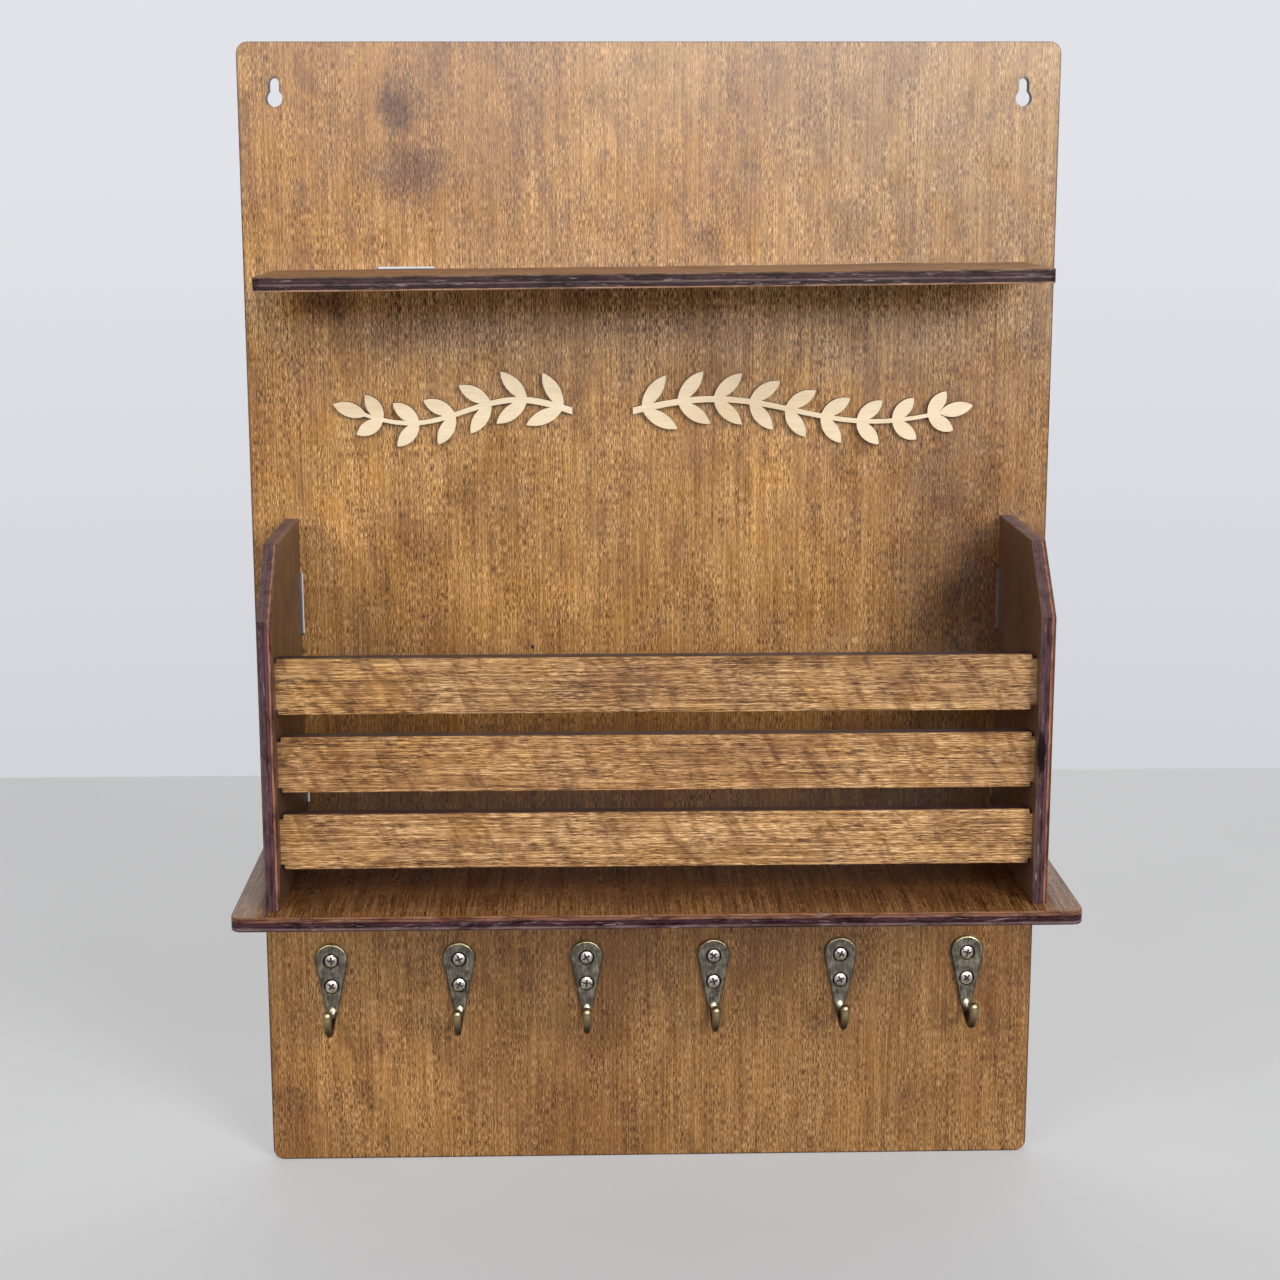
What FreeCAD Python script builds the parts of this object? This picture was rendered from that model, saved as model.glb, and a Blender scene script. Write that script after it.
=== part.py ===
import FreeCAD, Part
import math
import os
from FreeCAD import Placement, Rotation, Vector

# Frame: X to the right, front towards -Y, Z up, origin at the middle of the board's back face.
# Heights below are measured from the bottom edge of the board, and each piece is lowered by half
# the board's height as it is saved. Millimetres.

# Sheet stock
ply = 6.0
edge_ease = 0.25
fit = 0.1
tiny = 1e-6

# Backboard
board_w = 350.0
board_h = 503.0
board_corner_r = 5.0
front = -ply

# Keyholes near the top corners, measured from the board's side and top edges
key_inset = 15.5
key_drop = 23.4
key_r = 3.5
key_slot_w = 4.4
key_h = 12.0
key_x = board_w / 2 - key_inset
key_z = board_h - key_drop

# Both shelves hold the board with a pair of tabs at this share of its width from the middle
tab_share = 0.301
tab_x = tab_share * board_w

# Upper shelf, which hangs a little lower at its left end in loose slots
shelf1_drop = 94.0
shelf1_inset = 13.0
shelf1_depth = 70.0
shelf1_corner_r = 3.0
shelf1_lean = 0.5
shelf1_tab_w = 24.4
shelf1_top = board_h - shelf1_drop
shelf1_w = board_w - 2 * shelf1_inset

# Lower shelf
shelf2_top = 152.5
shelf2_inset = 1.0
shelf2_depth = 109.0
shelf2_corner_r = 5.0
shelf2_tab_w = 40.0
shelf2_w = board_w - 2 * shelf2_inset

# Side panels of the letter rack, which stand on the lower shelf
panel_inset = 14.5
panel_setback = 9.7
panel_h = 147.5
panel_cut = 27.3
panel_tab_h = 28.0
panel_tab_drop = 24.2
panel_tab_rise = 17.6
panel_foot_w = 36.0
panel_slot_gap_left = 1.0
panel_slot_gap_right = 0.6
panel_depth = shelf2_depth - panel_setback
panel_front = front - panel_depth
panel_out = board_w / 2 - panel_inset
panel_in = panel_out - ply
panel_top = shelf2_top + panel_h
panel_tab_top = panel_top - panel_tab_drop
panel_tab_low = shelf2_top + panel_tab_rise

# Slats between the side panels, which share the straight part of the panels' front edges
slat_shift = {"slat_top": -0.8, "slat_middle": 0.0, "slat_bottom": 0.1}
slat_foot = 15.7
slat_head = 16.1
slat_space = 9.1
slat_recess = 6.0
slat_gap = 1.2
slat_notch = 2.0
slat_tab_short = 1.2
slat_corner_r = 0.8
slat_front = panel_front + slat_recess
slat_room = panel_h - panel_cut - slat_foot - slat_head
slat_h = (slat_room + slat_space) / len(slat_shift) - slat_space
slat_pitch = slat_h + slat_space

# Cut-out sprigs on the board, growing away from a point left of its middle
sprig_t = 3.0
sprig_drop = 56.0
sprig_split_share = -0.06
sprig_space = 26.3
sprig_inset_left = 36.4
sprig_inset_right = 33.9
sprig_pitch = 14.9
sprig_stem_w = 3.0
sprig_leaf_w = 6.2
sprig_leaf_l = 18.0
sprig_wave = 5.0
sprig_taper = 0.45
sprig_steps = 24
leaf_splay = 42.0
leaf_belly = 0.45
leaf_taper = 0.3
leaf_start_share = 0.25
end_leaf_share = 0.85
end_leaf_lap = 0.05
sprig_z = shelf1_top - ply - sprig_drop
sprig_split = sprig_split_share * board_w

# Hooks, measured from the centre of the plate's round top, in a row a little lower at its left end
hook_count = 6
hook_inset = 29.6
hook_row_x = -0.4
hook_row_lean = 0.25
hook_drop = 48.4
hook_pitch = (board_w - 2 * hook_inset) / (hook_count - 1)
hook_z = shelf2_top - ply - hook_drop
plate_r = 7.4
plate_t = 2.4
plate_round = 0.9
neck_r = 2.6
neck_z = -24.7
arm_out = 12.4
arm_half = 11.0
arm_low = -31.1
arm_bend_h = 8.0
arm_tip_h = 10.5
arm_rise = 8.0
arm_start = 190.0
arm_root = 6.0
arm_lead = 2.0
arm_w_root = 2.6
arm_w_waist = 1.35
arm_w_tip = 2.1
arm_waist_at = 0.52
arm_t_root = 0.9
arm_ball_r = 2.25
arm_swell = 1.8
arm_steps = 8

# Hook screws
screw_below = 0.45
screw_pitch = 12.2
head_r = 2.75
head_dome = 0.5
seat_gap = 0.3
shank_r = 1.2
screw_reach = 5.2
screw_point = 1.6
bore_r = 1.5
cross_w = 0.9
cross_l = 3.6
cross_deep = 0.9
cross_turn = 37.0


def box(x0, x1, y0, y1, z0, z1):
    """A box between two corners given in any order."""
    low = Vector(min(x0, x1), min(y0, y1), min(z0, z1))
    return Part.makeBox(abs(x1 - x0), abs(y1 - y0), abs(z1 - z0), low)


def both(make):
    """The same shape made on the left and on the right."""
    return [make(-1), make(1)]


def joined(solids):
    """One clean solid from overlapping or touching solids."""
    return solids[0].multiFuse(solids[1:]).removeSplitter()


def eased(sheet, axis, low, high):
    """Break the long edges on the two broad faces of a sheet."""
    picked = []
    for edge in sheet.Edges:
        ends = [getattr(v.Point, axis) for v in edge.Vertexes]
        middle = getattr(edge.valueAt((edge.FirstParameter + edge.LastParameter) / 2), axis)
        for face in (low, high):
            if all(abs(value - face) < tiny for value in ends + [middle]):
                picked.append(edge)
    return sheet.makeChamfer(edge_ease, picked)


def rounded(sheet, radius, axis, wanted):
    """Round the corner edges that run along one axis and whose middle passes the test."""
    picked = []
    for edge in sheet.Edges:
        line = edge.Curve
        if isinstance(line, Part.Line) and abs(getattr(line.Direction, axis)) > 1 - tiny:
            if wanted(edge.CenterOfMass):
                picked.append(edge)
    return sheet.makeFillet(radius, picked)


# Backboard

def shelf_slots(tab_w, top, sag=0.0):
    """Slots through the board for the two tabs of a shelf, which may sag to its left by this much."""
    half = tab_w / 2 + fit
    left = box(-tab_x - half, -tab_x + half, front, 0, top - ply - fit - sag, top + fit)
    right = box(tab_x - half, tab_x + half, front, 0, top - ply - fit, top + fit + sag)
    return [left, right]


def panel_slots(z0):
    """Slots through the board for one tab of each side panel, wider on their inner side."""
    z1 = z0 + panel_tab_h
    outer = panel_out + fit
    left = box(-outer, panel_slot_gap_left - panel_in, front, 0, z0 - fit, z1 + fit)
    right = box(panel_in - panel_slot_gap_right, outer, front, 0, z0 - fit, z1 + fit)
    return [left, right]


def keyhole(side):
    """A round hole with a narrower round-ended slot above it."""
    back = Vector(side * key_x, 0, key_z)
    circle = Part.makeCylinder(key_r, ply, back, Vector(0, -1, 0))
    slot_r = key_slot_w / 2
    slot_top = key_z - key_r + key_h - slot_r
    end = Part.makeCylinder(slot_r, ply, Vector(side * key_x, 0, slot_top), Vector(0, -1, 0))
    throat = box(side * key_x - slot_r, side * key_x + slot_r, front, 0, key_z, slot_top)
    return joined([circle, end, throat])


def pilot_holes():
    """Blind holes in the board for the hook screws."""
    holes = []
    radius = shank_r + fit / 4
    for x, z in hook_places():
        for drop in screw_drops():
            mouth = Vector(x, front, z - drop)
            holes.append(Part.makeCylinder(radius, screw_reach + fit, mouth, Vector(0, 1, 0)))
    return holes


def backboard():
    board = box(-board_w / 2, board_w / 2, front, 0, 0, board_h)
    board = rounded(board, board_corner_r, "y", lambda p: True)
    board = eased(board, "y", front, 0)
    sag = math.tan(math.radians(shelf1_lean)) * (tab_x + shelf1_tab_w / 2)
    cuts = shelf_slots(shelf1_tab_w, shelf1_top, sag) + shelf_slots(shelf2_tab_w, shelf2_top)
    cuts += panel_slots(panel_tab_top - panel_tab_h) + panel_slots(panel_tab_low)
    cuts += both(keyhole) + pilot_holes()
    return board.cut(cuts)


# Shelves

def shelf(width, depth, top, corner_r, tab_w):
    """A shelf with rounded front corners and two tabs that go through the board."""
    plate = box(-width / 2, width / 2, front - depth, front, top - ply, top)
    plate = rounded(plate, corner_r, "z", lambda p: p.y < front - depth / 2)
    half = tab_w / 2
    tabs = both(lambda s: box(s * tab_x - half, s * tab_x + half, front - ply, 0, top - ply, top))
    return eased(joined([plate] + tabs), "z", top - ply, top)


def upper_shelf():
    flat = shelf(shelf1_w, shelf1_depth, shelf1_top, shelf1_corner_r, shelf1_tab_w)
    flat.rotate(Vector(0, 0, shelf1_top - ply / 2), Vector(0, 1, 0), -shelf1_lean)
    return flat


def foot_span():
    """Front-to-back span of the tab under each side panel."""
    middle = (front + panel_front) / 2
    return middle - panel_foot_w / 2, middle + panel_foot_w / 2


def lower_shelf():
    flat = shelf(shelf2_w, shelf2_depth, shelf2_top, shelf2_corner_r, shelf2_tab_w)
    y0, y1 = foot_span()
    x0, x1 = panel_in - fit, panel_out + fit
    z0, z1 = shelf2_top - ply, shelf2_top
    return flat.cut(both(lambda s: box(s * x0, s * x1, y0 - fit, y1 + fit, z0, z1)))


# Letter rack

def slat_mids():
    """Middle height of each slat by name, from the top down."""
    top = panel_top - panel_cut - slat_head - slat_h / 2
    return {name: top - i * slat_pitch for i, name in enumerate(slat_shift)}


def side_panel(side):
    """A side panel with a cut-off top front corner, two back tabs, a foot tab and slat slots."""
    z0 = shelf2_top
    low, high = panel_tab_low, panel_tab_top
    y0, y1 = foot_span()
    foot = z0 - ply
    outline = [(front, z0), (y1, z0), (y1, foot), (y0, foot), (y0, z0), (panel_front, z0)]
    outline += [(panel_front, panel_top - panel_cut), (panel_front + panel_cut, panel_top)]
    outline += [(front, panel_top), (front, high), (0, high), (0, high - panel_tab_h)]
    outline += [(front, high - panel_tab_h), (front, low + panel_tab_h), (0, low + panel_tab_h)]
    outline += [(0, low), (front, low), (front, z0)]
    x0, x1 = sorted((side * panel_in, side * panel_out))
    wire = Part.makePolygon([Vector(x0, y, z) for y, z in outline])
    panel = Part.Face(wire).extrude(Vector(ply, 0, 0))
    panel = eased(panel, "x", x0, x1)
    half = slat_h / 2 - slat_notch + fit
    y0, y1 = slat_front - fit / 2, slat_front + ply + fit / 2
    return panel.cut([box(x0, x1, y0, y1, z - half, z + half) for z in slat_mids().values()])


def slat(name):
    """A slat with shouldered tabs that reach into the side panels."""
    z = slat_mids()[name]
    y0, y1 = slat_front, slat_front + ply
    body = panel_in - slat_gap
    tip = panel_out - slat_tab_short
    half = slat_h / 2
    bar = box(-body, body, y0, y1, z - half, z + half)
    bar = rounded(bar, slat_corner_r, "y", lambda p: True)
    tongue = box(-tip, tip, y0, y1, z - half + slat_notch, z + half - slat_notch)
    piece = eased(joined([bar, tongue]), "y", y0, y1)
    piece.translate(Vector(slat_shift[name], 0, 0))
    return piece


# Cut-out sprigs

def flat_solid(edges):
    """A closed outline on the board's front face, thickened towards the front."""
    face = Part.Face(Part.Wire(edges))
    return face.extrude(Vector(0, -sprig_t, 0))


def leaf(root, angle, length):
    """A pointed leaf that grows from its root at an angle to the X axis."""
    turn = Rotation(Vector(0, 1, 0), -math.degrees(angle))
    belly = Vector(length * leaf_belly, 0, sprig_leaf_w / 2)
    points = [Vector(0, 0, 0), belly, Vector(length, 0, 0)]
    under = [Vector(p.x, 0, -p.z) for p in points]
    edges = []
    for arc in (points, under[::-1]):
        start, middle, end = [root + turn.multVec(p) for p in arc]
        edges.append(Part.Arc(start, middle, end).toShape())
    return flat_solid(edges)


def stem(point_at):
    """A wavy stem that gets thinner towards its tip."""
    shares = [i / sprig_steps for i in range(sprig_steps + 1)]
    middles = [(share, point_at(share)) for share in shares]
    rails = []
    for sign in (1, -1):
        lift = sign * sprig_stem_w / 2
        points = [p + Vector(0, 0, lift * (1 - sprig_taper * s)) for s, p in middles]
        curve = Part.BSplineCurve()
        curve.interpolate(points)
        rails.append((curve.toShape(), points[0], points[-1]))
    (upper, up0, up1), (lower, low0, low1) = rails
    return flat_solid([upper, Part.makeLine(up1, low1), lower, Part.makeLine(low0, up0)])


def sprig(x_root, x_tip):
    """A stem with leaves in pairs, ending in a last leaf."""
    way = 1 if x_tip > x_root else -1
    base = 0 if way == 1 else math.pi
    end_leaf = sprig_leaf_l * end_leaf_share
    length = (abs(x_tip - x_root) - end_leaf) / (1 - end_leaf_lap)
    pairs = round(length / sprig_pitch)

    def point_at(s):
        return Vector(x_root + way * s * length, front, sprig_z + sprig_wave * math.sin(2 * math.pi * s))

    def heading(s):
        return math.atan(sprig_wave * 2 * math.pi * math.cos(2 * math.pi * s) / length)

    parts = [stem(point_at)]
    for i in range(pairs):
        s = (i + leaf_start_share) / pairs
        size = sprig_leaf_l * (1 - leaf_taper * s)
        for sign in (-1, 1):
            angle = base + way * (heading(s) + sign * math.radians(leaf_splay))
            parts.append(leaf(point_at(s), angle, size))
    parts.append(leaf(point_at(1 - end_leaf_lap), base + way * heading(1), end_leaf))
    return joined(parts)


# Hooks

def hook_places():
    """Centre line and height of each hook along the row."""
    first = hook_row_x - hook_pitch * (hook_count - 1) / 2
    slope = math.tan(math.radians(hook_row_lean))
    xs = [first + i * hook_pitch for i in range(hook_count)]
    return [(x, hook_z + x * slope) for x in xs]


def screw_drops():
    """Depth of the two screws below the centre of the plate's round top."""
    return screw_below, screw_below + screw_pitch


def plate():
    """Teardrop plate: a large and a small circle joined by their tangents, front edge rounded."""
    sine = (plate_r - neck_r) / abs(neck_z)
    cosine = math.sqrt(1 - sine * sine)
    high = [Vector(s * plate_r * cosine, 0, -plate_r * sine) for s in (-1, 1)]
    low = [Vector(s * neck_r * cosine, 0, neck_z - neck_r * sine) for s in (-1, 1)]
    crown = Part.Arc(high[0], Vector(0, 0, plate_r), high[1]).toShape()
    base = Part.Arc(low[1], Vector(0, 0, neck_z - neck_r), low[0]).toShape()
    sides = [Part.makeLine(high[1], low[1]), Part.makeLine(low[0], high[0])]
    face = Part.Face(Part.Wire([crown, sides[0], base, sides[1]]))
    slab = face.extrude(Vector(0, -plate_t, 0))
    rim = [e for e in slab.Edges if all(abs(v.Y + plate_t) < tiny for v in e.Vertexes)]
    return slab.makeFillet(plate_round, rim)


def arm_width(share):
    """Half width along the arm: it narrows from the plate to a waist and swells to the tip."""
    if share < arm_waist_at:
        end, run = arm_w_root, 1 - share / arm_waist_at
    else:
        end, run = arm_w_tip, (share - arm_waist_at) / (1 - arm_waist_at)
    return arm_w_waist + (end - arm_w_waist) * run ** arm_swell


def arm():
    """The hook itself: oval sections that swell and turn forward and up to a round tip."""
    root_z = neck_z + arm_root
    path = [Vector(0, -plate_t / 2, root_z), Vector(0, -plate_t / 2, root_z - arm_lead)]
    first, last = math.radians(arm_start), math.radians(360 + arm_rise)
    for i in range(arm_steps + 1):
        angle = first + (last - first) * i / arm_steps
        height = arm_bend_h if math.cos(angle) < 0 else arm_tip_h
        y = -arm_out - arm_half * math.cos(angle)
        path.append(Vector(0, y, arm_low + height * (1 + math.sin(angle))))
    curve = Part.BSplineCurve()
    curve.interpolate(path)
    sections = []
    for i in range(arm_steps + 1):
        share = i / arm_steps
        where = curve.FirstParameter + (curve.LastParameter - curve.FirstParameter) * share
        along = curve.tangent(where)[0]
        wide = arm_width(share)
        thick = arm_t_root + (arm_w_tip - arm_t_root) * min(1, share * 2)
        oval = Part.Ellipse(Vector(0, 0, 0), wide, min(thick, wide)).toShape()
        tilt = math.degrees(math.atan2(-along.y, along.z))
        oval.Placement = Placement(curve.value(where), Rotation(Vector(1, 0, 0), tilt))
        sections.append(Part.Wire([oval]))
    rod = Part.makeLoft(sections, True)
    return rod, Part.makeSphere(arm_ball_r, curve.value(curve.LastParameter))


def screw_seats():
    """Countersunk holes through the plate."""
    seats = []
    mouth_r = head_r + seat_gap
    for drop in screw_drops():
        mouth = Vector(0, -plate_t, -drop)
        seats.append(Part.makeCone(mouth_r, bore_r, mouth_r - bore_r, mouth, Vector(0, 1, 0)))
        seats.append(Part.makeCylinder(bore_r, plate_t, mouth, Vector(0, 1, 0)))
    return seats


def hook():
    rod, tip = arm()
    body = joined([plate(), rod, tip])
    return body.cut(screw_seats())


def screw(turn):
    """A raised countersunk screw with a cross recess, its axis along Y and its point at the back."""
    rim = plate_t - fit * 2
    cone_end = rim - (head_r - shank_r)
    end = screw_reach
    profile = [(0, -rim - head_dome), (head_r, -rim), (shank_r, -cone_end), (shank_r, end - screw_point)]
    profile += [(0, end)]
    points = [Vector(r, y, 0) for r, y in profile]
    sphere_r = (head_r ** 2 + head_dome ** 2) / (2 * head_dome)
    half = math.asin(head_r / sphere_r) / 2
    middle = Vector(sphere_r * math.sin(half), sphere_r * (1 - math.cos(half)) - rim - head_dome, 0)
    dome = Part.Arc(points[0], middle, points[1]).toShape()
    lines = [Part.makeLine(a, b) for a, b in zip(points[1:], points[2:] + points[:1])]
    turned = Part.Face(Part.Wire([dome] + lines)).revolve(Vector(0, 0, 0), Vector(0, 1, 0), 360)
    body = Part.Solid(turned) if turned.ShapeType == "Shell" else turned
    top = -rim - head_dome
    half = cross_l / 2
    bars = [box(-half, half, top, top + cross_deep, -cross_w / 2, cross_w / 2)]
    bars.append(box(-cross_w / 2, cross_w / 2, top, top + cross_deep, -half, half))
    cross = joined(bars)
    cross.rotate(Vector(0, 0, 0), Vector(0, 1, 0), turn)
    return body.cut(cross)


def placed(shape, x, z):
    """A hook or screw moved to its place on the board's front face."""
    copy = shape.copy()
    copy.translate(Vector(x, front, z))
    return copy


def hook_screws():
    screws = []
    for x, z in hook_places():
        for drop in screw_drops():
            screws.append(placed(screw(cross_turn * len(screws)), x, z - drop))
    return Part.makeCompound(screws)


def save(name, shape):
    """Move a piece from the bottom-edge heights to the middle of the board and write it."""
    piece = shape.copy()
    piece.translate(Vector(0, 0, -board_h / 2))
    piece.exportStep("parts/" + name + ".step")


os.makedirs("parts", exist_ok=True)
save("backboard", backboard())
save("upper_shelf", upper_shelf())
save("lower_shelf", lower_shelf())
save("side_panel_left", side_panel(-1))
save("side_panel_right", side_panel(1))
for name in slat_shift:
    save(name, slat(name))
roots = [sprig_split - sprig_space / 2, sprig_split + sprig_space / 2]
save("sprig_left", sprig(roots[0], sprig_inset_left - board_w / 2))
save("sprig_right", sprig(roots[1], board_w / 2 - sprig_inset_right))
one_hook = hook()
for number, (x, z) in enumerate(hook_places()):
    save("hook_" + str(number + 1), placed(one_hook, x, z))
save("hook_screws", hook_screws())
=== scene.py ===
import math

import bpy
from mathutils import Matrix, Vector


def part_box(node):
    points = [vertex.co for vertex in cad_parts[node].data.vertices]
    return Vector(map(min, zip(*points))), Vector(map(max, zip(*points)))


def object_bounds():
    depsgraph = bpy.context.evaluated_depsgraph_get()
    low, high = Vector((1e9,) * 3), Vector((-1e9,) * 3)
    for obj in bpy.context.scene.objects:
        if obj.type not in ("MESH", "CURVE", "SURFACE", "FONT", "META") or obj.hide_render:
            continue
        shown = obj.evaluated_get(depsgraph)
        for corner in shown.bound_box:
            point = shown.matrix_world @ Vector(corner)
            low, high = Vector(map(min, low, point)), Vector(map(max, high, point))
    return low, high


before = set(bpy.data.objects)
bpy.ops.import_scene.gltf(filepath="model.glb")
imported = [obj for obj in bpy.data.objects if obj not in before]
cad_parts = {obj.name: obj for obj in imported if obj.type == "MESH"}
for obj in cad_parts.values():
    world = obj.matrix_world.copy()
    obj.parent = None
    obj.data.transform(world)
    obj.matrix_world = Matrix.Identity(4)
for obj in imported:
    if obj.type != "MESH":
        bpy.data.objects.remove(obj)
cad_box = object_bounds()

# The frame is in metres, with X to the right, the front towards -Y, Z up, and its origin at the
# middle of the board's back face. Patches, spans and sizes of features are in millimetres.
MM = 0.001
to_right, to_left = (1.0, 0.0, 0.0), (-1.0, 0.0, 0.0)
to_back, to_front = (0.0, 1.0, 0.0), (0.0, -1.0, 0.0)
upward, downward = (0.0, 0.0, 1.0), (0.0, 0.0, -1.0)
no_shift = (0.0, 0.0, 0.0)


def srgb(red, green, blue):
    """Linear colour from display values of 0 to 255."""
    values = [v / 255 for v in (red, green, blue)]
    linear = [v / 12.92 if v <= 0.04045 else ((v + 0.055) / 1.055) ** 2.4 for v in values]
    return (*linear, 1)


# Camera, fitted to the edges of the board, shelves and slats in the photograph
camera_at = Vector((-30.1, -1013.3, 194.7)) * MM
camera_pitch = 11.31
camera_yaw = -1.44
camera_roll = -0.085
camera_lens = 64.92
sensor_width = 36.0

# Table top, whose far edge lies behind the object. It glows a little, a painted light that fills
# the shadows on it. Towards its front, under the lights, it turns grey, a painted shade over the
# pool of light there, and dull over the front span.
table_gap = 0.3 * MM
table_back = 0.70
table_front = 4.0
table_reach = 6.0
table_tones = [(0.3, srgb(152, 152, 151)), (0.7, srgb(160, 160, 159))]
table_glow = (0.99, 0.99, 1.0, 1)
table_glow_strength = 0.32
table_rough = 0.8
table_gloss = 0.2
table_front_span = (200.0, 1200.0)
table_front_shade = srgb(173, 173, 174)

# Air that the camera sees, from this height of its direction up to the horizon
seen_span = (-0.24, 0.0)
seen_tones = (srgb(211, 212, 217), srgb(226, 227, 232))

# Light of the air, from the dim room in front to the bright wall behind
lit_span = (0.05, 0.35)
lit_tones = ((0.07, 0.07, 0.075, 1), (0.70, 0.72, 0.76, 1))

# Soft boxes: place, target, width and height, watts, colour, and whether one adds gloss only
soft_white = (0.99, 0.985, 1.0)
cool_white = (0.96, 0.98, 1.0)
pure_white = (1.0, 1.0, 1.0)
origin = (0.0, 0.0, 0.0)
soft_boxes = {
    "key": ((2.06, -3.30, 1.57), origin, (1.5, 2.25), 144.0, soft_white, False),
    "fill": ((-2.40, -3.07, 1.57), origin, (2.25, 2.25), 75.0, soft_white, False),
    "sheen": ((0.6, -2.6, 0.95), (0.0, 0.0, 0.2), (2.4, 0.7), 190.0, cool_white, True),
    "back": ((0.0, 1.0, 1.7), (0.0, 0.35, -0.25), (1.6, 1.6), 8.0, pure_white, False)}

# Kinds of noise: detail, roughness and distortion
dash_kind = (3.0, 0.7, 0.0)
thread_kind = (3.0, 0.6, 0.2)
curl_kind = (4.0, 0.6, 0.8)

# Noises of the wood: length and width of their features, and kind
streak_noise = (60.0, 3.5), (3.0, 0.6, 0.4)
crowd_noise = (26.0, 9.0), (3.0, 0.6, 0.5)
mottle_noise = (30.0, 20.0), (6.0, 0.7, 0.4)
hue_noise = (46.0, 26.0), (5.0, 0.65, 0.4)
cloud_noise = (170.0, 90.0), (2.0, 0.5, 0.4)
wander_noise = (30.0, 4.0), (3.0, 0.6, 0.0)
grit_noise = (6.0, 0.7), (3.0, 0.7, 0.0)
soot_noise = (14.0, 3.0), (4.0, 0.7, 0.0)
rub_noise = (9.0, 0.6), (3.0, 0.75, 0.0)

# Noises of the surfaces: size of their features along X, Y and Z, and kind
table_noise = (300.0, 300.0, 300.0), (4.0, 0.6, 0.0)
satin_noise = (14.0, 14.0, 14.0), (4.0, 0.6, 0.0)
patina_noise = (3.0, 3.0, 3.0), (4.0, 0.65, 0.0)
brushed_noise = (0.5, 0.5, 6.0), (3.0, 0.6, 0.0)
bronze_grit = (0.6, 0.6, 0.6), (3.0, 0.6, 0.0)
nickel_grit = (0.9, 0.9, 0.9), (3.0, 0.65, 0.0)

# Threads of the grain: length, and width for each width of a dash
thread_length = 40.0
thread_width_share = 1.4

# Where the dark, middle and light tones lie in the grain's ramp
tone_stops = (0.1, 0.5, 0.9)

# Dashes of the grain swing more where they crowd
crowd_span = (0.36, 0.64)
crowd_gains = (0.55, 1.3)

# Where each drift of the wood's colour starts and is full in its noise, and its tint
stain_span, stain_and_shade_tint = (0.48, 0.72), srgb(150, 124, 106)
figure_span, figure_tint = (0.46, 0.68), srgb(196, 182, 168)
grey_span, grey_tint = (0.52, 0.68), srgb(214, 205, 208)
gold_span, gold_tint = (0.48, 0.32), srgb(255, 247, 218)
cloud_span, cloud_tint = (0.42, 0.66), srgb(232, 223, 214)
hue_shift = 5.0

# Stain, and the painted shade in some of the board's patches, lies in the dark dashes, less on the
# pale ones, and lowers the face a little
pale_dash_span = (0.62, 0.4)
stain_and_shade_on_pale = 0.3
stain_and_shade_depth = 0.3

# Patches: how ragged each kind's outline is, and where it starts and is full, in half sizes
curl_in_outline = 0.7
stain_and_shade_ragged, stain_and_shade_edge = 2.8, (1.5, 0.0)
light_ragged, light_edge = 2.2, (1.6, 0.0)
lively_ragged, lively_edge = 1.0, (1.5, 0.3)
mark_ragged, mark_edge = 1.5, (1.1, 0.6)

# Edges of the sheets: how far the plies wander, in thicknesses, then soot, rubbed dashes, and a
# painted light on edges that face up
ply_wander = 0.12
ply_grit = 0.1
soot_span, soot_tint = (0.42, 0.66), srgb(160, 148, 148)
rub_span, rubbed_tone = (0.58, 0.7), srgb(176, 156, 148)
rub_shift = (3.0, 3.0, 3.0)
top_light_span, top_light_tone = (0.3, 0.7), srgb(168, 142, 134)

# How squarely a broad face looks along the sheet's normal, the gloss of an edge, and the slow
# swing of the roughness
face_span = (0.6, 0.9)
edge_gloss = 0.06
satin_span = (0.3, 0.7)
satin_swing = (-0.04, 0.06)

# Plies of the edges, from one broad face to the other
shelf_bands = [(0.0, srgb(58, 42, 46)), (0.08, srgb(70, 52, 58)), (0.16, srgb(124, 104, 98)),
               (0.24, srgb(92, 72, 72)), (0.33, srgb(50, 30, 36)), (0.50, srgb(72, 48, 54)),
               (0.60, srgb(46, 25, 29)), (0.67, srgb(112, 76, 62)), (0.79, srgb(130, 92, 74)),
               (0.87, srgb(84, 52, 42)), (0.93, srgb(164, 116, 84)), (1.0, srgb(118, 80, 60))]
dark_bands = [(0.0, srgb(186, 148, 116)), (0.07, srgb(170, 132, 102)), (0.12, srgb(58, 38, 40)),
              (0.28, srgb(50, 32, 36)), (0.38, srgb(66, 46, 48)), (0.46, srgb(112, 94, 90)),
              (0.54, srgb(54, 35, 39)), (0.72, srgb(72, 48, 48)), (0.83, srgb(48, 32, 34)),
              (0.92, srgb(104, 80, 64)), (1.0, srgb(150, 116, 88))]
panel_bands = [(0.0, srgb(112, 96, 88)), (0.1, srgb(78, 58, 58)), (0.3, srgb(92, 66, 70)),
               (0.45, srgb(66, 42, 50)), (0.58, srgb(96, 68, 72)), (0.69, srgb(74, 46, 48)),
               (0.75, srgb(168, 116, 88)), (0.83, srgb(136, 88, 66)), (0.9, srgb(74, 48, 42)),
               (1.0, srgb(116, 86, 70))]
burnt_bands = [(0.0, srgb(96, 66, 54)), (0.2, srgb(60, 40, 38)), (0.5, srgb(70, 50, 50)),
               (0.8, srgb(58, 38, 38)), (1.0, srgb(92, 62, 52))]
scorched_bands = [(0.0, srgb(84, 56, 36)), (0.5, srgb(112, 76, 50)), (1.0, srgb(92, 60, 38))]


def on_board(x, z, half_x, half_z):
    """Middle and half sizes of a patch that stays on the board's front face."""
    return (x, -6.0, z), (half_x, 3.0, half_z)
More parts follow.
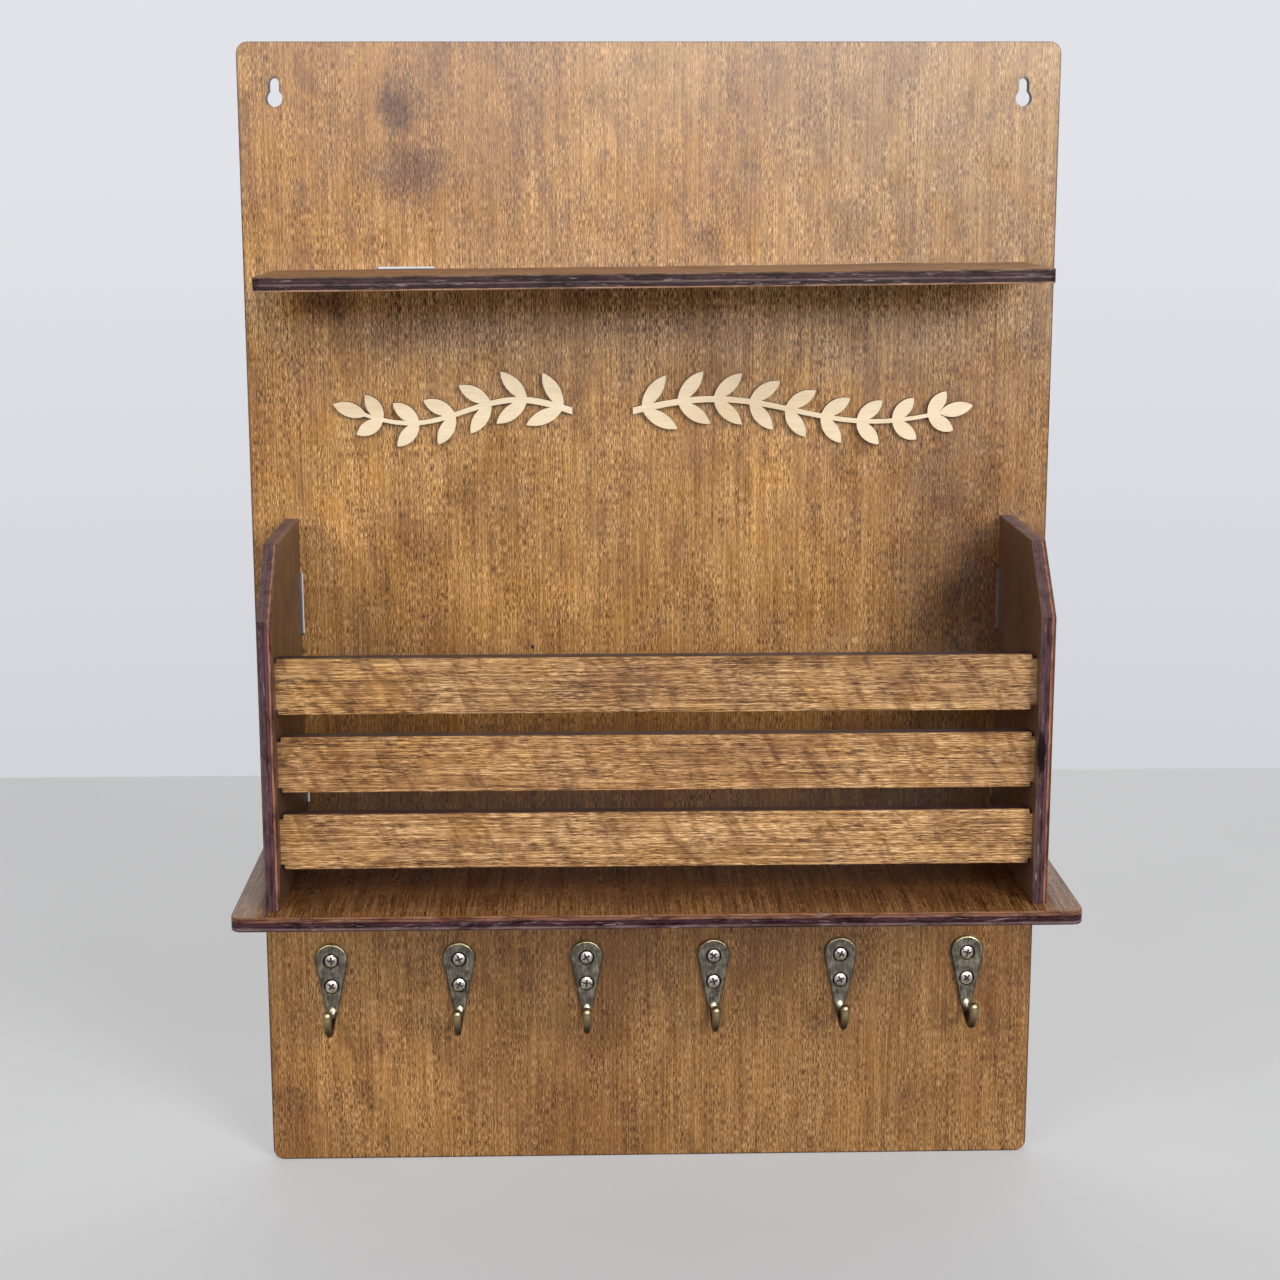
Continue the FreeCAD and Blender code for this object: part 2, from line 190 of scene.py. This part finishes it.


# Dark stains on the board, and their depth. Those under the upper shelf are stain and painted
# shade; the two in the rack beside the side panels are painted shade.
board_stains_and_shade = [(on_board(-106, 224, 10, 14), 1.4),
                (on_board(-104, 200, 17, 14), 1.0),
                # Stain and painted shade under the upper shelf
                (on_board(-140, 141, 17, 10), 1.2),
                (on_board(-96, 134, 50, 15), 0.9),
                (on_board(-20, 144, 60, 17), 1.0),
                (on_board(90, 146, 60, 13), 0.8),
                (on_board(-62, 62, 26, 34), 0.3),
                (on_board(128, 52, 24, 40), 0.7),
                # Painted shade in the rack beside the side panels
                (on_board(150, 4, 34, 34), 1.0),
                (on_board(-160, 4, 16, 30), 0.6)]

# Paler, golden, greyer and deeper places on the board, and their gain. The cool band under the
# upper shelf is a painted sheen; the deep places in the rack's right corner and behind the lower
# slats are painted shade.
board_gains_and_painted_light = [(on_board(-122, 44, 26, 24), (1.28, 1.27, 1.26, 1)),
                (on_board(-122, 192, 50, 50), (1.09, 1.09, 1.06, 1)),
                (on_board(-128, -208, 34, 26), (1.2, 1.2, 1.2, 1)),
                (on_board(110, 205, 44, 32), (1.06, 1.1, 1.22, 1)),
                (on_board(-64, 16, 36, 22), (1.14, 1.13, 1.08, 1)),
                (on_board(24, 196, 50, 26), (1.15, 1.14, 1.1, 1)),
                (on_board(66, 60, 22, 40), (1.1, 1.08, 1.04, 1)),
                # Painted sheen under the upper shelf
                (on_board(20, 142, 170, 20), (1.22, 1.34, 1.66, 1)),
                (on_board(-106, 225, 9, 12), (0.68, 0.64, 0.68, 1)),
                (on_board(-104, 199, 14, 12), (0.76, 0.72, 0.76, 1)),
                (on_board(-142, 140, 16, 8), (0.7, 0.64, 0.66, 1)),
                # Painted shade in the rack's right corner, and on the board behind the lower slats
                (on_board(158, -4, 26, 56), (0.6, 0.48, 0.3, 1)),
                (on_board(0, -66, 260, 22), (0.86, 0.74, 0.54, 1))]

# Small marks and their tint: a knot and the burnt rims of the keyholes on the board, a char spot
# and a scratch on the right panel's front edge
keyhole_x = 159.5
keyhole_z = 228.1
keyhole_slot_z = 233.6
keyhole_round = (4.2, 9.0, 4.2)
keyhole_slot = (2.9, 9.0, 4.2)
keyhole_burn = srgb(120, 98, 86)
board_marks = [(((-52.5, -6.0, -9.6), (0.9, 9.0, 1.1)), srgb(30, 22, 18))]
for x in (-keyhole_x, keyhole_x):
    board_marks.append((((x, -3.0, keyhole_z), keyhole_round), keyhole_burn))
    board_marks.append((((x, -3.0, keyhole_slot_z), keyhole_slot), keyhole_burn))
panel_marks = [(((156.0, -105.3, -35.0), (2.2, 4.0, 10.0)), srgb(96, 92, 96)),
               (((155.6, -105.3, -87.1), (0.5, 4.0, 1.8)), (2.4, 2.4, 2.6, 1))]

# Shades along a direction, over a span. The board is deeper towards its foot, burnt at its outer
# arrises with a painted contact shadow along its foot, paler and cooler at its top by a painted
# sheen, and cooler and a little darker towards its top right.
board_shades = [(downward, (-20.0, 90.0), srgb(212, 210, 218)),
                # Burnt arris, and a painted contact shadow, along the foot
                (downward, (250.5, 251.4), srgb(100, 84, 76)),
                (to_left, (174.0, 174.9), srgb(170, 150, 138)),
                (to_right, (174.0, 174.9), srgb(170, 150, 138)),
                # Painted sheen at the top
                (upward, (130.0, 180.0), (1.05, 1.06, 1.09, 1)),
                ((0.8, 0.0, 0.6), (60.0, 230.0), srgb(238, 242, 255))]
# The right side panel is lighter and the left one darker: painted light and shade
panel_shades = [(to_right, (-100.0, 100.0), (1.2, 1.26, 1.36, 1)),
                (to_left, (-100.0, 100.0), (0.92, 0.92, 0.9, 1))]
# The lower slats are lighter: painted light
slat_shades = [(downward, (0.0, 34.0), (1.12, 1.13, 1.17, 1))]

# The board's grain is calmer at its top, by a share, and livelier under the upper shelf, by a gain
board_calm = upward, (150.0, 200.0), 0.1
board_lively = ((0.0, -6.0, 132.0), (240.0, 3.0, 22.0)), 1.5

# The lower shelf is darker and duller between the side panels, a painted shade under the slats:
# half of the room there, the span from the lit front to the shaded back, tint, and share of the
# gloss
shelf_well = 164.0, (-114.0, -86.0), srgb(196, 188, 180), 0.2

# Styles of the sheets. Each has dark, middle and light tones, the length and width of a dash, the
# strength of each layer, its curl as size, turn in degrees and strength, and its surface.
plain_wood = dict(streaks=0.4, curl=None, lively=None, calm=None, well=None, stains_and_shade=(), lights=(),
                  shades=(), marks=(), rub=0.3, top_light_share=0.0, gloss=0.3, rough=0.32, relief=0.015)
board_wood = dict(
    plain_wood, tones=(srgb(80, 42, 10), srgb(170, 121, 56), srgb(230, 182, 118)),
    dash=(3.0, 0.4), dashes=2.6, threads=0.9, blotch=0.5, grey=0.5, gold=0.4,
    curl=((20.0, 8.0), 10.0, 0.5), lively=board_lively, calm=board_calm, stains_and_shade=board_stains_and_shade,
    lights=board_gains_and_painted_light, shades=board_shades, marks=board_marks, bands=shelf_bands)
slat_wood = dict(
    plain_wood, tones=(srgb(64, 36, 12), srgb(157, 113, 61), srgb(227, 186, 133)),
    dash=(5.5, 0.34), dashes=2.6, threads=1.5, blotch=0.8, grey=1.0, gold=0.8,
    curl=((8.0, 20.0), 35.0, 1.0), shades=slat_shades, bands=burnt_bands)
shelf_wood = dict(
    plain_wood, tones=(srgb(66, 36, 14), srgb(146, 100, 54), srgb(198, 150, 100)),
    dash=(6.0, 0.45), dashes=2.0, threads=1.6, streaks=0.6, blotch=0.4, grey=0.4, gold=0.3,
    rub=0.5, relief=0.006)
upper_wood = dict(shelf_wood, bands=dark_bands, gloss=0.2, rough=0.45)
lower_wood = dict(shelf_wood, bands=shelf_bands, gloss=0.45, rough=0.28, well=shelf_well)
panel_wood = dict(
    plain_wood, tones=(srgb(60, 39, 26), srgb(94, 67, 48), srgb(122, 93, 68)),
    dash=(4.0, 0.45), dashes=1.8, threads=0.9, blotch=0.3, grey=0.3, gold=0.3, top_light_share=0.12,
    shades=panel_shades, marks=panel_marks, bands=panel_bands)
pale_wood = dict(
    plain_wood, tones=(srgb(214, 190, 150), srgb(232, 212, 176), srgb(242, 226, 196)),
    dash=(5.0, 0.6), dashes=0.8, threads=0.4, streaks=0.5, blotch=0.1, grey=0.1, gold=0.1,
    rub=0.0, rough=0.6, bands=scorched_bands)

# Upper shelf: thickness and lean in degrees. Slats: move of the grain from one to the next.
ply = 6 * MM
shelf_lean = 0.5
slat_shift = 5.3

# Hooks: drop of the centre of the plate's round top, and of the screws below that centre
crown_drop = 7.4
screw_drops = (0.45, 12.65)
# Painted shade in a ring round each screw head: radius, width, and share of the width at full
# shade
screw_shade_radius = 3.1
screw_shade_width = 0.7
screw_shade_core = 0.3

# Spans of the hooks and screws, out from the board's back face
plate_span = (9.0, 8.6)
arm_span = (9.0, 12.0)
tip_span = (26.0, 30.0)
cross_span = (8.35, 8.1)

# Hooks and screws: spans of how squarely a face looks up, down or forward
rim_facing = (0.1, 0.5)
under_shade_facing = (0.1, 0.7)
screw_facing = (0.5, 0.9)

# Hooks and screws: spans of their noise, and what a rim keeps of its wear and painted highlight
# where the patina is dark
rim_span = (0.35, 0.55)
rim_least = 0.5
patina_span = (0.3, 0.7)
grime_span = (0.45, 0.62)
polish_span = (0.3, 0.7)

# Metals: tones, tints, roughness, relief, and strengths of the brass on the rim, which is wear and
# a painted highlight where it faces up, and of the worn tip
patina_share = 0.5
bronze_tones = [(0.36, srgb(62, 57, 50)), (0.5, srgb(92, 86, 76)), (0.64, srgb(126, 118, 106))]
# Painted shade round the screw heads
bronze_screw_shade = srgb(70, 62, 56)
bronze_arm = srgb(176, 168, 152)
# Painted shade on faces that look down
bronze_under_shade = srgb(120, 108, 96)
brass_wear_and_highlight = srgb(186, 168, 124)
rim_wear_and_highlight_share = 0.8
worn_tip = 0.45
grit_share = 1.6
bronze_relief = 0.04
bronze_rough = (0.32, 0.46)
# Painted shade on the screw heads' sides and recess walls
nickel_side_shade = srgb(58, 52, 46)
nickel_face = srgb(188, 182, 176)
nickel_grime = srgb(136, 128, 120)
# Painted shade deep in the screws' cross
nickel_cross_shade = srgb(118, 108, 98)
nickel_relief = 0.06
nickel_rough = (0.28, 0.44)


class Look:
    """A procedural material. Its textures are placed by the frame's own metres."""

    def __init__(self, name, **constants):
        self.material = bpy.data.materials.new(name)
        self.material.use_nodes = True
        self.nodes = self.material.node_tree.nodes
        self.links = self.material.node_tree.links
        self.shader = self.nodes["Principled BSDF"]
        for key, value in constants.items():
            self.shader.inputs[key.replace("_", " ")].default_value = value
        coordinate = self.nodes.new("ShaderNodeTexCoord")
        self.place = coordinate.outputs["Object"]
        self.normal = coordinate.outputs["Normal"]

    def feed(self, socket, value):
        if isinstance(value, bpy.types.NodeSocket):
            self.links.new(value, socket)
        else:
            socket.default_value = value

    def node(self, kind, inputs, output=0, **settings):
        """Add a node, fill its inputs by number or name, and give back one output."""
        node = self.nodes.new("ShaderNode" + kind)
        for key, value in settings.items():
            setattr(node, key, value)
        for key, value in inputs.items():
            self.feed(node.inputs[key], value)
        return node.outputs[output]

    def math(self, operation, first, second=0.0):
        return self.node("Math", {0: first, 1: second}, operation=operation)

    def plus(self, first, second):
        return self.math("ADD", first, second)

    def minus(self, first, second):
        return self.math("SUBTRACT", first, second)

    def times(self, first, second):
        return self.math("MULTIPLY", first, second)

    def swing(self, value, amount):
        """The swing of a value about one half, times an amount."""
        return self.times(self.minus(value, 0.5), amount)

    def along(self, direction):
        """How far a place lies along a direction, in metres."""
        inputs = {0: self.place, 1: direction}
        return self.node("VectorMath", inputs, 1, operation="DOT_PRODUCT")

    def facing(self, direction):
        """How squarely the surface faces a direction, from -1 to 1."""
        inputs = {0: self.normal, 1: direction}
        return self.node("VectorMath", inputs, 1, operation="DOT_PRODUCT")

    def step(self, value, span, start=0.0, end=1.0):
        """A smooth step from start to end where a value runs over a span."""
        low, high = span
        inputs = {0: value, 1: low, 2: high, 3: start, 4: end}
        return self.node("MapRange", inputs, interpolation_type="SMOOTHSTEP")

    def reach(self, direction, span, start=0.0, end=1.0):
        """A smooth step over a span of millimetres along a direction."""
        low, high = span
        return self.step(self.along(direction), (low * MM, high * MM), start, end)

    def noise(self, size, kind, shift=no_shift, turn=0.0):
        """Noise with features of this size along X, Y and Z, turned about Y by degrees."""
        place = self.place
        if turn:
            inputs = {"Vector": place, "Axis": to_back, "Angle": math.radians(turn)}
            place = self.node("VectorRotate", inputs, rotation_type="AXIS_ANGLE")
        scale = [1 / (s * MM) for s in size]
        place = self.node("Mapping", {"Vector": place, "Location": shift, "Scale": scale})
        detail, rough, warp = kind
        inputs = {"Vector": place, "Scale": 1.0, "Detail": detail, "Roughness": rough,
                  "Distortion": warp}
        return self.node("TexNoise", inputs)

    def grained(self, grain, size, kind, shift=no_shift, turn=0.0):
        """Noise whose features lie along the grain's axis."""
        length, width = size
        spread = [length if axis == grain else width for axis in "XYZ"]
        return self.noise(spread, kind, shift, turn)

    def away(self, patch, ragged, spread):
        """How far a place lies from a patch, in its half sizes, with a ragged outline."""
        middle, half = patch
        centre = [v * MM for v in middle]
        offset = self.node("VectorMath", {0: self.place, 1: centre}, operation="SUBTRACT")
        inverse = [1 / (v * MM) for v in half]
        scaled = self.node("VectorMath", {0: offset, 1: inverse}, operation="MULTIPLY")
        distance = self.node("VectorMath", {0: scaled}, 1, operation="LENGTH")
        return self.plus(distance, self.swing(ragged, spread))

    def ring(self, centre, radius, width):
        """A soft ring about an axis along Y, in metres."""
        offset = self.node("VectorMath", {0: self.place, 1: centre}, operation="SUBTRACT")
        flat = self.node("VectorMath", {0: offset, 1: (1.0, 0.0, 1.0)}, operation="MULTIPLY")
        distance = self.node("VectorMath", {0: flat}, 1, operation="LENGTH")
        gap = self.math("ABSOLUTE", self.minus(distance, radius))
        return self.step(gap, (width, width * screw_shade_core))

    def ramp(self, value, stops):
        """A colour ramp through (position, colour) stops."""
        node = self.nodes.new("ShaderNodeValToRGB")
        self.feed(node.inputs[0], value)
        elements = node.color_ramp.elements
        while len(elements) < len(stops):
            elements.new(0.5)
        for element, (position, colour) in zip(elements, stops):
            element.position = position
            element.color = colour
        return node.outputs[0]

    def mix(self, share, first, second, blend="MIX"):
        inputs = {0: share, 6: first, 7: second}
        return self.node("Mix", inputs, 2, data_type="RGBA", blend_type=blend)

    def tinted(self, colour, share, tint):
        """Multiply a colour by a tint where share is 1."""
        return self.mix(share, colour, tint, "MULTIPLY")

    def relief(self, height, depth_mm):
        """Bump whose full height is this many millimetres."""
        bump = self.node("Bump", {"Strength": 1.0, "Distance": depth_mm * MM, "Height": height})
        self.feed(self.shader.inputs["Normal"], bump)

    def finish(self, colour, roughness):
        self.feed(self.shader.inputs["Base Color"], colour)
        self.feed(self.shader.inputs["Roughness"], roughness)
        return self.material


# Wood

def grain_tone(look, grain, style, shift, dash, ragged):
    """Dashes, threads and streaks of grain, from dark at 0 to light at 1."""
    crowd = look.step(look.grained(grain, *crowd_noise, shift), crowd_span, *crowd_gains)
    tone = look.times(look.swing(dash, style["dashes"]), crowd)
    thread_size = (thread_length, thread_width_share * style["dash"][1])
    thread = look.grained(grain, thread_size, thread_kind, shift)
    tone = look.plus(tone, look.swing(thread, style["threads"]))
    streak = look.grained(grain, *streak_noise, shift)
    tone = look.plus(tone, look.swing(streak, style["streaks"]))
    if style["lively"]:
        patch, gain = style["lively"]
        away = look.away(patch, ragged, lively_ragged)
        tone = look.times(tone, look.step(away, lively_edge, 1.0, gain))
    return look.plus(tone, 0.5)


def stain_and_shade_share(look, style, dash, mottle, ragged):
    """Dark stain, in blotches and in the style's own patches, some of which are painted shade."""
    stain_and_shade = look.times(look.step(mottle, stain_span), style["blotch"])
    for patch, depth in style["stains_and_shade"]:
        away = look.away(patch, ragged, stain_and_shade_ragged)
        stain_and_shade = look.math("MAXIMUM", stain_and_shade, look.step(away, stain_and_shade_edge, 0.0, depth))
    return look.times(stain_and_shade, look.step(dash, pale_dash_span, stain_and_shade_on_pale, 1.0))


def wood_tone(look, grain, style, shift):
    """Stained birch, with some painted light and shade. Gives back its colour, and a height for
    the relief.
    """
    dash = look.grained(grain, style["dash"], dash_kind, shift)
    mottle = look.grained(grain, *mottle_noise, shift)
    ragged = mottle
    if style["curl"]:
        size, turn, strength = style["curl"]
        curl = look.grained(grain, size, curl_kind, shift, turn)
        ragged = look.plus(mottle, look.swing(curl, curl_in_outline))

    dark, middle, light = style["tones"]
    tone = grain_tone(look, grain, style, shift, dash, ragged)
    colour = look.ramp(tone, list(zip(tone_stops, (dark, middle, light))))
    if style["calm"]:
        direction, span, share = style["calm"]
        colour = look.mix(look.reach(direction, span, 0.0, share), colour, middle)
    if style["curl"]:
        figure = look.times(look.step(curl, figure_span), strength)
        colour = look.tinted(colour, figure, figure_tint)
    # Patches of other tone, some of them painted sheen and painted shade
    for patch, gain in style["lights"]:
        away = look.away(patch, ragged, light_ragged)
        colour = look.tinted(colour, look.step(away, light_edge), gain)

    # Stain, with painted shade in some of the style's patches
    stain_and_shade = stain_and_shade_share(look, style, dash, mottle, ragged)
    colour = look.tinted(colour, stain_and_shade, stain_and_shade_tint)
    hue = look.grained(grain, *hue_noise, [v + hue_shift for v in shift])
    grey = look.times(look.step(hue, grey_span), style["grey"])
    colour = look.tinted(colour, grey, grey_tint)
    gold = look.times(look.step(hue, gold_span), style["gold"])
    colour = look.tinted(colour, gold, gold_tint)
    cloud = look.grained(grain, *cloud_noise, shift)
    colour = look.tinted(colour, look.step(cloud, cloud_span), cloud_tint)
    # Shades along directions, some of them painted light and shade
    for direction, span, tint in style["shades"]:
        colour = look.tinted(colour, look.reach(direction, span), tint)
    return colour, look.minus(dash, look.times(stain_and_shade, stain_and_shade_depth))


def ply_edge(look, depth, run, style):
    """Laser-cut edge: charred plies of different browns, with soot, rubbed dashes, and painted
    light where it faces up.
    """
    place = look.plus(depth, look.swing(look.grained(run, *wander_noise), ply_wander))
    place = look.plus(place, look.swing(look.grained(run, *grit_noise), ply_grit))
    colour = look.ramp(place, style["bands"])
    soot = look.step(look.grained(run, *soot_noise), soot_span)
    colour = look.tinted(colour, soot, soot_tint)
    rubbed = look.grained(run, *rub_noise, rub_shift)
    colour = look.mix(look.step(rubbed, rub_span, 0.0, style["rub"]), colour, rubbed_tone)
    # Painted light on edges that face up
    top_light = look.step(look.facing(upward), top_light_span, 0.0, style["top_light_share"])
    return look.mix(top_light, colour, top_light_tone)


def plywood(name, grain, normal, run, low, thickness, style, shift=no_shift):
    """Grain on the broad faces, and plies on the edges, from low on along the sheet's normal."""
    look = Look(name)
    colour, height = wood_tone(look, grain, style, shift)
    depth = look.math("DIVIDE", look.minus(look.along(normal), low), thickness)
    edge = ply_edge(look, depth, run, style)
    flat = look.math("ABSOLUTE", look.facing(normal))
    gloss = look.step(flat, face_span, edge_gloss, style["gloss"])
    if style["well"]:
        half, span, tint, dull = style["well"]
        across = look.math("ABSOLUTE", look.along(to_right))
        inside = look.step(across, ((half + 1) * MM, (half - 1) * MM))
        # Painted shade on the lower shelf between the side panels, darkest at the back under the
        # slats
        colour = look.tinted(colour, look.times(inside, look.reach(to_back, span)), tint)
        gloss = look.times(gloss, look.step(inside, (0.0, 1.0), 1.0, dull))
    colour = look.mix(look.step(flat, face_span), edge, colour)
    for patch, tint in style["marks"]:
        away = look.away(patch, height, mark_ragged)
        colour = look.tinted(colour, look.step(away, mark_edge), tint)
    look.feed(look.shader.inputs["Specular IOR Level"], gloss)
    look.relief(height, style["relief"])
    rough = [style["rough"] + swing for swing in satin_swing]
    return look.finish(colour, look.step(look.noise(*satin_noise), satin_span, *rough))


# Metals

def aged_bronze(name, crown):
    """Dark brushed casting, worn to brass on its tip, brass on its upward rim as wear and a
    painted highlight, with painted shade round its screws and on faces that look down.
    """
    look = Look(name, Metallic=1.0)
    patina = look.noise(*patina_noise)
    brushed = look.noise(*brushed_noise)
    grit = look.noise(*bronze_grit)
    tone = look.plus(look.times(patina, patina_share), look.times(brushed, 1 - patina_share))
    colour = look.ramp(tone, bronze_tones)
    # Painted shade round each screw head
    for drop in screw_drops:
        centre = crown - Vector((0.0, 0.0, drop * MM))
        screw_shade = look.ring(centre, screw_shade_radius * MM, screw_shade_width * MM)
        colour = look.tinted(colour, screw_shade, bronze_screw_shade)
    colour = look.tinted(colour, look.reach(to_front, arm_span), bronze_arm)
    # Brass on the rim where it faces up: wear and a painted highlight
    rim_wear_and_highlight = look.step(look.facing(upward), rim_facing)
    rim_wear_and_highlight = look.times(rim_wear_and_highlight, look.reach(to_front, plate_span))
    rim_wear_and_highlight = look.times(rim_wear_and_highlight, look.step(patina, rim_span, rim_least, 1.0))
    tip = look.reach(to_front, tip_span)
    wear_and_highlight = look.math("MAXIMUM", look.times(rim_wear_and_highlight, rim_wear_and_highlight_share), look.times(tip, worn_tip))
    colour = look.mix(wear_and_highlight, colour, brass_wear_and_highlight)
    # Painted shade on faces that look down
    under = look.step(look.facing(downward), under_shade_facing)
    colour = look.tinted(colour, under, bronze_under_shade)
    look.relief(look.plus(look.times(grit, grit_share), brushed), bronze_relief)
    return look.finish(colour, look.step(patina, patina_span, *bronze_rough))


def nickel():
    """Screw heads with grime on their faces, and painted shade on their sides and in the cross."""
    look = Look("Nickel", Metallic=1.0)
    grit = look.noise(*nickel_grit)
    flat = look.math("ABSOLUTE", look.facing(to_back))
    # Painted shade on the sides of the heads
    colour = look.mix(look.step(flat, screw_facing), nickel_side_shade, nickel_face)
    colour = look.tinted(colour, look.step(grit, grime_span), nickel_grime)
    # Painted shade in the cross
    colour = look.tinted(colour, look.reach(to_front, cross_span), nickel_cross_shade)
    look.relief(grit, nickel_relief)
    return look.finish(colour, look.step(grit, polish_span, *nickel_rough))


# Dressing of the frame's nodes

def dress(node, material):
    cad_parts[node].material_slots[0].material = material


def dress_sheet(node, thin, grain, run, style, shift=no_shift):
    """Dress a sheet that is thin on one axis. Its edges' marks run along another."""
    axis = "XYZ".index(thin)
    normal = [float(name == thin) for name in "XYZ"]
    low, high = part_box(node)
    thickness = high[axis] - low[axis]
    dress(node, plywood("Ply_" + node, grain, normal, run, low[axis], thickness, style, shift))


def dress_upper_shelf():
    """The upper shelf leans, and its plies with it."""
    lean = math.radians(shelf_lean)
    normal = (-math.sin(lean), 0.0, math.cos(lean))
    low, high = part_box("upper_shelf")
    under = (low[2] + high[2] - ply) / 2
    dress("upper_shelf", plywood("Ply_upper_shelf", "X", normal, "X", under, ply, upper_wood))


def dress_wood():
    dress_sheet("backboard", "Y", "Z", "Z", board_wood)
    dress_upper_shelf()
    dress_sheet("lower_shelf", "Z", "Y", "X", lower_wood)
    for name in ("side_panel_left", "side_panel_right"):
        dress_sheet(name, "X", "Z", "Z", panel_wood)
    for place, name in enumerate(("slat_top", "slat_middle", "slat_bottom")):
        dress_sheet(name, "Y", "X", "X", slat_wood, (place * slat_shift, 0.0, 0.0))
    for name in ("sprig_left", "sprig_right"):
        dress_sheet(name, "Y", "X", "X", pale_wood)


def dress_metal():
    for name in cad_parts:
        if name.startswith("hook_") and name != "hook_screws":
            low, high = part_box(name)
            crown = Vector(((low[0] + high[0]) / 2, 0.0, high[2] - crown_drop * MM))
            dress(name, aged_bronze("Bronze_" + name, crown))
    dress("hook_screws", nickel())


# Stage

def make_table():
    """A plain pale table top under the board."""
    bottom = cad_box[0][2] - table_gap
    corners = [(-table_reach, -table_front, bottom), (table_reach, -table_front, bottom),
               (table_reach, table_back, bottom), (-table_reach, table_back, bottom)]
    mesh = bpy.data.meshes.new("table")
    mesh.from_pydata(corners, [], [(0, 1, 2, 3)])
    table = bpy.data.objects.new("table", mesh)
    bpy.context.scene.collection.objects.link(table)
    # The glow is painted light that fills the table's shadows
    look = Look("PaleTable", Emission_Color=table_glow, Emission_Strength=table_glow_strength)
    colour = look.ramp(look.noise(*table_noise), table_tones)
    front = look.reach(to_front, table_front_span)
    # Painted shade over the pool of light under the soft boxes
    colour = look.tinted(colour, front, table_front_shade)
    gloss = look.step(front, (0.0, 1.0), table_gloss, 0.0)
    look.feed(look.shader.inputs["Specular IOR Level"], gloss)
    mesh.materials.append(look.finish(colour, table_rough))


def make_world():
    """A bright pale wall behind the object, a dim room in front, and pale air for the camera."""
    world = bpy.data.worlds.new("studio")
    bpy.context.scene.world = world
    world.use_nodes = True
    nodes, links = world.node_tree.nodes, world.node_tree.links
    nodes.clear()
    direction = nodes.new("ShaderNodeTexCoord")
    split = nodes.new("ShaderNodeSeparateXYZ")
    links.new(direction.outputs["Generated"], split.inputs[0])

    def background(output, span, tones):
        spread = nodes.new("ShaderNodeMapRange")
        links.new(output, spread.inputs["Value"])
        spread.inputs["From Min"].default_value, spread.inputs["From Max"].default_value = span
        ramp = nodes.new("ShaderNodeValToRGB")
        for element, colour in zip(ramp.color_ramp.elements, tones):
            element.color = colour
        links.new(spread.outputs[0], ramp.inputs[0])
        shader = nodes.new("ShaderNodeBackground")
        links.new(ramp.outputs[0], shader.inputs["Color"])
        return shader.outputs[0]

    seen = background(split.outputs["Z"], seen_span, seen_tones)
    light = background(split.outputs["Y"], lit_span, lit_tones)
    path = nodes.new("ShaderNodeLightPath")
    choose = nodes.new("ShaderNodeMixShader")
    output = nodes.new("ShaderNodeOutputWorld")
    links.new(path.outputs["Is Camera Ray"], choose.inputs[0])
    links.new(light, choose.inputs[1])
    links.new(seen, choose.inputs[2])
    links.new(choose.outputs[0], output.inputs[0])


def make_light(name, at, target, size, watts, colour, gloss_only):
    """A soft box that faces a point. One for gloss only leaves the shading alone."""
    data = bpy.data.lights.new(name, "AREA")
    data.shape = "RECTANGLE"
    data.size, data.size_y = size
    data.energy = watts
    data.color = colour
    light = bpy.data.objects.new(name, data)
    light.location = at
    light.rotation_euler = (Vector(target) - Vector(at)).to_track_quat("-Z", "Y").to_euler()
    light.visible_diffuse = not gloss_only
    bpy.context.scene.collection.objects.link(light)


def make_camera():
    data = bpy.data.cameras.new("camera")
    data.lens = camera_lens
    data.sensor_width = sensor_width
    camera = bpy.data.objects.new("camera", data)
    turn = Matrix.Rotation(math.radians(camera_yaw), 4, "Z")
    tilt = Matrix.Rotation(math.radians(90 - camera_pitch), 4, "X")
    roll = Matrix.Rotation(math.radians(camera_roll), 4, "Z")
    camera.matrix_world = Matrix.Translation(camera_at) @ turn @ tilt @ roll
    bpy.context.scene.collection.objects.link(camera)
    bpy.context.scene.camera = camera


make_camera()
dress_wood()
dress_metal()
make_table()
make_world()
for name, settings in soft_boxes.items():
    make_light(name, *settings)
bpy.context.scene.view_settings.view_transform = "Standard"
